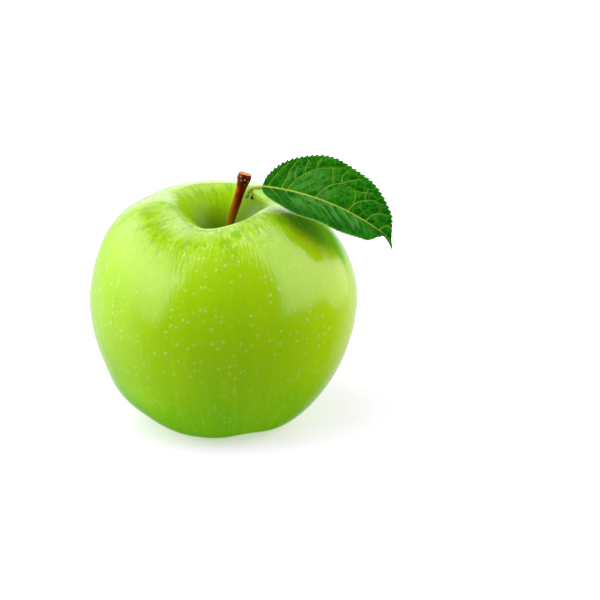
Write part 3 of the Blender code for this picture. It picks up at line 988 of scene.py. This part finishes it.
def make_blade(look):
    """The toothed blade: veins sunk in its upper face, soft bulges between, and ribs below."""
    columns = look.teeth * TOOTH_COLUMNS
    shares = [(column / columns) ** BASE_CROWDING for column in range(columns + 1)]
    line = midrib_points(columns)
    midrib = []
    for share in shares:
        index = min(int(share * columns), columns - 1)
        midrib.append(line[index].lerp(line[index + 1], share * columns - index))
    phases, tangents = {}, {}
    for side in (-1, 1):
        margin = [blade_point(centre, share, side) for centre, share in zip(midrib, shares)]
        gone = [0.0]
        for start, end in zip(margin, margin[1:]):
            gone.append(gone[-1] + (end - start).length)
        phases[side] = [length / gone[-1] * look.teeth for length in gone]
        tangents[side] = directions_of(margin)
    bm = bmesh.new()
    bmesh.ops.create_grid(bm, x_segments=columns, y_segments=LEAF_ROWS, size=0.5)
    spots = []
    for vert in bm.verts:
        column = round((vert.co.x + 0.5) * columns)
        across = round((vert.co.y + 0.5) * LEAF_ROWS) / LEAF_ROWS * 2 - 1
        spots.append((column, across))
    flat = np.array([flattened(shares[column], abs(across)) for column, across in spots])
    far = np.array([across >= 0 for _, across in spots])
    side_gap = np.where(far, vein_distance(flat, FAR_VEINS), vein_distance(flat, NEAR_VEINS))
    link_gap = np.where(far, vein_distance(flat, FAR_LINKS), FAR_OFF)
    layers = new_layers(
        bm, "main_vein", "side_vein", "fine_vein", "cell", "under", "rib", "edge", "margin",
        "root", "painted_sheen", "netting",
    )
    lifts = []
    gaps = zip(bm.verts[:], spots, flat, side_gap, link_gap)
    for vert, (column, across), (length, reach), side, link in gaps:
        share = shares[column]
        point = blade_point(midrib[column], share, across)
        edge = ease((abs(across) - EDGE_START) / 0.14)
        sign = 1 if across >= 0 else -1
        if 0 < column < columns and edge:
            depth = look.tooth_depth * (1 if sign > 0 else NEAR_TOOTH_SHARE)
            depth = min(depth, half_width(share) / 5)
            tangent = tangents[sign][column]
            outward = point - midrib[column]
            outward = (outward - tangent * outward.dot(tangent)).normalized()
            swing = tooth(phases[sign][column] % 1.0)
            point += (outward + tangent * 0.7) * (depth * swing * edge)
        # A ladder of fine veins runs across between the side veins, with a finer net in it.
        warp = 0.9 * noise.noise(Vector((length * 0.25, reach * 0.25, sign * 7)))
        where = Vector(((length - 0.35 * reach + warp) / 1.9, (reach + warp) / 3.4, 3.1 * sign))
        distances, _ = noise.voronoi(where)
        ladder = clamp(1 - (distances[1] - distances[0]) / 0.12)
        small = Vector((length / 0.75 + warp, reach / 0.85, 9.7 * sign))
        small_distances, _ = noise.voronoi(small)
        mesh_line = clamp(1 - (small_distances[1] - small_distances[0]) / 0.20)
        fade = math.sin(math.pi * clamp(share)) ** 0.3 if 0 < share < 1 else 0
        taper = 1 - 0.6 * abs(across)
        main = bell(reach, MAIN_WIDTH * (1.2 - share)) * (1 - 0.8 * ease((share - 0.80) / 0.14))
        side_line = bell(side, SIDE_WIDTH * taper + LEAST_WIDTH) * fade
        side_dip = bell(side, DIP_WIDTH) * fade
        link_line = bell(link, LINK_WIDTH) * fade
        # The near half shows its side veins as folds, hardly as lines.
        drawn = 1.0 if sign > 0 else 0.15 + 0.65 * (1 - ease((share - 0.10) / 0.18))
        side_line *= 1.0 - 0.35 * abs(across)
        fine_line = max(ladder, 0.45 * mesh_line) * fade
        # Painted sheen: lighter streaks beside the midrib, where the blade bulges between its side
        # veins.
        folds = Vector(((length - 0.8 * reach) / 1.3, reach / 5.0, 5.3 * sign))
        folds = clamp(0.5 + 1.5 * noise.noise(folds) + 0.5 * noise.noise(folds * 2.7))
        start, end = (0.14, 0.86) if sign < 0 else (0.10, 0.62)
        zone = ease((share - start) / 0.15) * ease((end - share) / 0.20)
        zone *= ease((0.85 - abs(across)) / 0.45)
        near_vein = min(side, link, reach * 1.1)
        bulge = 1 - bell(near_vein, BULGE_WIDTH)
        pillow = clamp((distances[1] - distances[0]) / 0.55)
        swell = 0.75 * bulge + 0.75 * pillow * bulge - 0.55 * side_dip - 0.2
        height = look.quilting * fade * swell
        height += look.quilting * 0.35 * main
        lifts.append(height * (1 - 0.7 * edge))
        values = {
            "main_vein": main,
            "side_vein": max(side_line, 0.75 * link_line) * drawn,
            "fine_vein": fine_line * (1.0 if sign > 0 else 0.25),
            "netting": fade * (1.0 if sign > 0 else 0.35),
            "cell": clamp(noise.noise(where * 0.8) * 0.8 + 0.5),
            "painted_sheen": folds * zone * (1.0 if sign < 0 else 0.7),
            "rib": max(main * (1 - 0.7 * share), 0.5 * side_dip),
            "edge": edge,
            # The near margin's painted highlight
            "margin": ease((abs(across) - 0.965) / 0.03) if sign < 0 else 0,
            "root": 1 - ease(share / 0.05),
        }
        for name, value in values.items():
            vert[layers[name]] = value
        vert.co = point
    bm.normal_update()
    for vert, lift in zip(bm.verts[:], lifts):
        up = vert.normal if vert.normal.z > 0 else -vert.normal
        vert.co += up * lift
    bmesh.ops.remove_doubles(bm, verts=bm.verts[:], dist=MERGE_DISTANCE)
    bmesh.ops.recalc_face_normals(bm, faces=bm.faces[:])
    bm.normal_update()
    if sum(face.normal.z for face in bm.faces) < 0:
        bmesh.ops.reverse_faces(bm, faces=bm.faces[:])
    # The lower face is a copy of the upper one, moved down and joined to it round the margin.
    bm.normal_update()
    rim = [edge for edge in bm.edges if edge.is_boundary]
    copied = bmesh.ops.duplicate(bm, geom=bm.verts[:] + bm.edges[:] + bm.faces[:])["geom"]
    lower, lower_edges, lower_faces = (
        [part for part in copied if isinstance(part, kind)]
        for kind in (bmesh.types.BMVert, bmesh.types.BMEdge, bmesh.types.BMFace)
    )
    for vert in lower:
        vert[layers["under"]] = 1.0
        thin = (1 - 0.7 * vert[layers["edge"]]) * (1 - 0.75 * vert[layers["root"]])
        rib = RIB_DEPTH * vert[layers["rib"]] * (1 - vert[layers["root"]])
        vert.co -= vert.normal * (look.thickness * thin + rib)
    bmesh.ops.reverse_faces(bm, faces=lower_faces)
    bmesh.ops.bridge_loops(bm, edges=rim + [edge for edge in lower_edges if edge.is_boundary])
    bmesh.ops.recalc_face_normals(bm, faces=bm.faces[:])
    return finish_piece("leaf_blade", bm, leaf_material(look), "leaf")


def make_stalk(look):
    """The leaf stalk, bent down to its heel at the stem, and the withered stipule."""
    base = placed(LEAF_BASE) - leaf_up(0) * 0.00030
    bends = placed(STALK_BEND), placed(STALK_REACH)
    centres = list(interpolate_bezier(placed(HEEL), *bends, base, 40))
    # Its end runs on under the midrib.
    for step in range(1, STALK_RUN_STEPS + 1):
        onward = leaf_direction(0) * (STALK_RUN * step / STALK_RUN_STEPS)
        centres.append(base + onward - leaf_up(0) * (STALK_RUN_DROP * step / STALK_RUN_STEPS))
    sections = []
    for index in range(len(centres)):
        share = index / (len(centres) - 1)
        radius = STALK_RADIUS + (STALK_THIN_RADIUS - STALK_RADIUS) * ease(share / 0.35)
        radius *= 1 - 0.55 * ease((share - 0.80) / 0.2)
        sections.append((radius, radius * 0.92))
    directions = directions_of(centres)
    bm, ring_layer = drawn_rod(centres, directions, sections, 24)
    layers = new_layers(bm, "heel", "dry_tip")
    for vert in bm.verts:
        share = vert[ring_layer] / (len(centres) - 1)
        vert[layers["heel"]] = 1 - ease((share - 0.02) / 0.10)
        groove = noise.noise(vert.co / MM * 1.5)
        vert.co += (vert.co - centres[vert[ring_layer]]) * (0.12 * groove)
    material = stalk_material(look)
    finish_piece("leaf_stalk", bm, material, "leaf")

    root, tip = placed(STIPULE_ROOT), placed(STIPULE_TIP)
    centres, sections = [], []
    for step in range(STIPULE_STEPS + 1):
        share = step / STIPULE_STEPS
        bow = Vector((0.00025, 0, 0)) * math.sin(math.pi * step / STIPULE_STEPS)
        centres.append(root.lerp(tip, share) + bow)
        wide = 0.00082 * (1 - 0.30 * ease(share)) * (0.80 + 0.20 * math.sin(step))
        sections.append((wide, 0.00050 * (1 - 0.3 * step / STIPULE_STEPS)))
    bm, ring_layer = drawn_rod(centres, directions_of(centres), sections, 20, Vector((1, 0, 0)))
    layers = new_layers(bm, "heel", "dry_tip")
    for vert in bm.verts:
        share = vert[ring_layer] / STIPULE_STEPS
        vert[layers["dry_tip"]] = ease((share - 0.55) / 0.2)
        crumple = 0.35 * noise.noise(vert.co / MM * 2.2)
        vert.co += (vert.co - centres[vert[ring_layer]]) * crumple
    finish_piece("stipule", bm, material, "leaf")


def make_calyx(look):
    """The dried flower end: plug, five curled sepals and a tuft of stamens."""
    brown = dry_material(look)
    low = BASIN_DEPTH - FLAT_DEPTH - GAP
    high = BASIN_DEPTH - FLAT_DEPTH + CALYX_PLUG_DEPTH - GAP
    # Heights and shares of the radius, down to the rim and up into the cup
    rings = [(high, 0.97), (high - 0.0001, 1.0), (low + 0.0002, 1.0), (low, 0.96)]
    rings += [(low + 0.0001, 0.7), (low + 0.0006, 0.4), (low + 0.0012, 0.15)]
    centres = [placed((0, 0, height)) for height, _ in rings]
    sections = [(CALYX_PLUG_RADIUS * share, CALYX_PLUG_RADIUS * share) for _, share in rings]
    bm, _ = drawn_rod(centres, [Vector((0, 0, -1))] * len(rings), sections, 64)
    finish_piece("calyx_cup", bm, brown, "calyx")

    for index in range(SEPALS):
        angle = math.radians(LOBE_ANGLE) + math.tau * index / SEPALS
        outward = level_direction(angle)
        sideways = level_direction(angle + math.pi / 2)
        centres = [placed((0, 0, BASIN_DEPTH - FLAT_DEPTH + SEPAL_ROOT)) + outward * SEPAL_RING]
        for step in range(SEPAL_STEPS):
            share = step / (SEPAL_STEPS - 1)
            lean = math.radians(SEPAL_SPLAY + SEPAL_CURL * share + 8 * math.sin(3.1 * index + 2))
            onward = outward * math.sin(lean) + Vector((0, 0, -math.cos(lean)))
            centres.append(centres[-1] + onward * (SEPAL_LENGTH / SEPAL_STEPS))
        sections = []
        for step in range(len(centres)):
            share = step / (len(centres) - 1)
            wide = SEPAL_HALF_WIDTH * (1 - 0.88 * share**1.8)
            sections.append((wide, SEPAL_HALF_THICKNESS * (1 - 0.5 * share)))
        bm, ring_layer = drawn_rod(centres, directions_of(centres), sections, 28, sideways)
        for vert in bm.verts:
            spot = vert.co / MM
            fold = 0.00012 * noise.noise(spot * 1.8) + 0.00006 * noise.noise(spot * 4.5)
            vert.co += (vert.co - centres[vert[ring_layer]]).normalized() * fold
        finish_piece(f"sepal_{index + 1}", bm, brown, "calyx")

    root = placed((0, 0, low + 0.0010))
    for index in range(look.stamens):
        angle = math.tau * (index + 0.3 * math.sin(5.0 * index)) / look.stamens
        reach = 0.0010 + 0.0005 * math.sin(2.7 * index)
        outward = level_direction(angle)
        start = root + outward * STAMEN_RING
        drop = STAMEN_LENGTH + 0.0007 * math.cos(3.3 * index)
        end = start + outward * reach - Vector((0, 0, drop))
        middle = start.lerp(end, 0.5) + outward * 0.0004 * math.cos(4.1 * index)
        centres = interpolate_bezier(start, middle, middle, end, STAMEN_STEPS)
        # The last two rings are the thicker head.
        sections = [(STAMEN_RADIUS, STAMEN_RADIUS)] * (STAMEN_STEPS - 2)
        sections += [(STAMEN_HEAD_RADIUS, STAMEN_HEAD_RADIUS)] * 2
        bm, _ = drawn_rod(centres, directions_of(centres), sections, 8)
        finish_piece(f"stamen_{index + 1:02d}", bm, brown, "calyx")


# Studio

def add_object(name, data):
    made = bpy.data.objects.new(name, data)
    bpy.context.scene.collection.objects.link(made)
    return made


def aimed(place, away):
    """The matrix of a light or camera at a place, turned away from a direction."""
    return Matrix.Translation(place) @ away.to_track_quat("Z", "Y").to_matrix().to_4x4()


def soft_light(name, place, width, height, radiance):
    """A rectangular light turned to the apple. radiance is 1 for paper white."""
    data = bpy.data.lights.new(name, "AREA")
    data.shape = "RECTANGLE"
    data.size = width
    data.size_y = height
    data.energy = radiance * math.pi * width * height
    made = add_object(name, data)
    made.matrix_world = aimed(place, (Vector(place) - Vector(LIGHT_TARGET)).normalized())
    made.visible_camera = False
    made.visible_glossy = False


def make_room(look):
    """A white room: what the camera, the mirror images and the soft fill see of it."""
    world = bpy.data.worlds.new("studio_room")
    bpy.context.scene.world = world
    world.use_nodes = True
    tree = world.node_tree
    toward = signal(tree, "ShaderNodeTexCoord", output="Generated")
    rightward, backward, upward = parts(toward)
    # Degrees from the front round to the right, and degrees above the level
    around = maths("DEGREES", maths("ARCTAN2", rightward, backward * -1.0))
    above = maths("DEGREES", maths("ARCSINE", upward))

    # The left panel fades downwards, and its corners are cut.
    left = ramp(around, -43, -50) * ramp(around, -155, -130)
    level = ramp(above, -6, 48, 0.24, 1.0) * ramp(above, -62, -10)
    level *= ramp(above, 48, 68, 1.0, 0.60)
    level *= ramp(above - ramp(around, -75, -46, 71, 55), 4, -4)
    level *= 1.0 - ramp(around, -114, -136) * ramp(above, 48, 62)
    level *= 1.0 - ramp(around, -78, -62) * ramp(above, 6, -6) * 0.85
    left = left * level * look.left_shine

    # Painted shadow of the leaf: the right panel, and the wall behind, are dark in the directions
    # that the leaf hides from the shoulder.
    leaf_shade = ramp(around - ramp(above, 12, -3, 119, 141), -4, 4)
    edge = above - ramp(around, 90, 122, 1, -13)
    right = ramp(around, 52, 59) * ramp(edge, -4, 4) * look.right_shine
    right = right * ramp(above, -6, 32, 0.5, 1.0) * ramp(above, 82, 74)
    right *= 1.0 - leaf_shade * ramp(above, 47, 40)

    # The wall behind has a brighter strip above the level.
    back = ramp(backward, 0.30, 0.75) * ramp(above, -50, -20)
    strip = ramp(above, 26, 14) * ramp(above, -3, 4) * ramp(backward, 0.86, 0.95)
    back *= strip * 1.3 + 0.85
    back *= ramp(above, 54, 36, 0.2, 1.0)
    # Painted shadow of the leaf on the wall behind
    back *= 1.0 - leaf_shade * ramp(around, 172, 164) * ramp(above, -9, -3)
    back *= look.back_shine

    shine = maths("MAXIMUM", maths("MAXIMUM", left, right), back) + 0.005
    fill = ramp(upward, -0.9, -0.1, look.fill * 2.0, look.fill * 0.9)
    fill = fill * ramp(rightward, 0.8, -0.8, 0.82, 1.75) * ramp(backward, -0.9, -0.1, 0.68, 1.0)
    ray = node(tree, "ShaderNodeLightPath").outputs
    mirrored, seen = Signal(tree, ray["Is Glossy Ray"]), Signal(tree, ray["Is Camera Ray"])
    strength = signal(tree, "ShaderNodeMix", {0: mirrored, 2: fill, 3: shine})
    strength = signal(tree, "ShaderNodeMix", {0: seen, 2: strength, 3: 1.0})
    connect(tree.nodes["Background"], {"Color": (1, 1, 1, 1), "Strength": strength})


def make_studio(look):
    """The white floor, the lights, the room and the camera."""
    bm = bmesh.new()
    bmesh.ops.create_circle(bm, cap_ends=True, segments=96, radius=3.0)
    mesh = bpy.data.meshes.new("studio_floor")
    bm.to_mesh(mesh)
    bm.free()
    white, tree, shader = new_material("floor_white")
    # The floor is lit by the lamps near the apple, where it glows less, a painted shade round the
    # apple, and shines white itself further away.
    away = signal(
        tree, "ShaderNodeVectorMath", {0: object_place(tree)}, "Value", operation="LENGTH"
    )
    connect(shader, {
        "Base Color": (0.88, 0.76, 0.97, 1),
        "Roughness": 1.0,
        "Specular IOR Level": 0.0,
        "Emission Color": (1, 1, 1, 1),
        "Emission Strength": ramp(away, 0.09, 0.45, 0.33, 1.0),
    })
    mesh.materials.append(white)
    floor = add_object("studio_floor", mesh)
    floor.visible_glossy = False
    floor.visible_diffuse = False
    floor.visible_shadow = False

    make_room(look)
    for name, place, width, height in LIGHTS:
        soft_light(name, place, width, height, getattr(look, name))

    camera = add_object("camera", bpy.data.cameras.new("camera"))
    camera.data.lens = look.lens
    camera.data.sensor_width = 36
    camera.data.clip_start = 0.01
    ahead = Vector((0, math.cos(look.elevation), -math.sin(look.elevation)))
    target = Vector((CAMERA_TARGET[0] + CORE_X, 0, CAMERA_TARGET[1] - FLAT_DEPTH))
    camera.matrix_world = aimed(target - ahead * look.distance, -ahead)
    bpy.context.scene.camera = camera
    view = bpy.context.scene.view_settings
    view.view_transform = "Standard"
    view.look = "None"


class APPLE_OT_fruit(bpy.types.Operator):
    """Makes the fruit with its waxed, dotted skin"""

    bl_idname = "apple.fruit"
    bl_label = "Fruit"

    def execute(self, context):
        make_fruit(context.scene.apple_fruit)
        return {"FINISHED"}


class APPLE_OT_stem(bpy.types.Operator):
    """Makes the stem with its bark and cut top"""

    bl_idname = "apple.stem"
    bl_label = "Stem"

    def execute(self, context):
        make_stem(context.scene.apple_stem)
        return {"FINISHED"}


class APPLE_OT_leaf(bpy.types.Operator):
    """Makes the leaf: blade, stalk and stipule"""

    bl_idname = "apple.leaf"
    bl_label = "Leaf"

    def execute(self, context):
        make_blade(context.scene.apple_leaf)
        make_stalk(context.scene.apple_leaf)
        return {"FINISHED"}


class APPLE_OT_calyx(bpy.types.Operator):
    """Makes the dried flower end in the basin"""

    bl_idname = "apple.calyx"
    bl_label = "Flower end"

    def execute(self, context):
        make_calyx(context.scene.apple_calyx)
        return {"FINISHED"}


class APPLE_OT_studio(bpy.types.Operator):
    """Makes the floor, the lights, the room and the camera"""

    bl_idname = "apple.studio"
    bl_label = "Studio"

    def execute(self, context):
        make_studio(context.scene.apple_studio)
        return {"FINISHED"}


SETTINGS = {
    "apple_fruit": AppleFruitSettings,
    "apple_stem": AppleStemSettings,
    "apple_leaf": AppleLeafSettings,
    "apple_calyx": AppleCalyxSettings,
    "apple_studio": AppleStudioSettings,
}
OPERATORS = (APPLE_OT_fruit, APPLE_OT_stem, APPLE_OT_leaf, APPLE_OT_calyx, APPLE_OT_studio)


class APPLE_PT_sidebar(bpy.types.Panel):
    """The apple's pieces and their settings"""

    bl_idname = "APPLE_PT_sidebar"
    bl_label = "Green apple"
    bl_space_type = "VIEW_3D"
    bl_region_type = "UI"
    bl_category = "Apple"

    def draw(self, context):
        for name, operator in zip(SETTINGS, OPERATORS):
            box = self.layout.box()
            box.operator(operator.bl_idname)
            settings = getattr(context.scene, name)
            for key in settings.__annotations__:
                box.prop(settings, key)


def register():
    for name, group in SETTINGS.items():
        bpy.utils.register_class(group)
        setattr(bpy.types.Scene, name, PointerProperty(type=group))
    for operator in OPERATORS:
        bpy.utils.register_class(operator)
    bpy.utils.register_class(APPLE_PT_sidebar)


def unregister():
    bpy.utils.unregister_class(APPLE_PT_sidebar)
    for operator in reversed(OPERATORS):
        bpy.utils.unregister_class(operator)
    for name, group in reversed(SETTINGS.items()):
        delattr(bpy.types.Scene, name)
        bpy.utils.unregister_class(group)


def write_sizes():
    """Brings the view layer up to date."""
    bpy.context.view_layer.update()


def main():
    register()
    bpy.ops.apple.fruit()
    bpy.ops.apple.stem()
    bpy.ops.apple.leaf()
    bpy.ops.apple.calyx()
    bpy.ops.apple.studio()
    write_sizes()


if __name__ == "__main__":
    main()
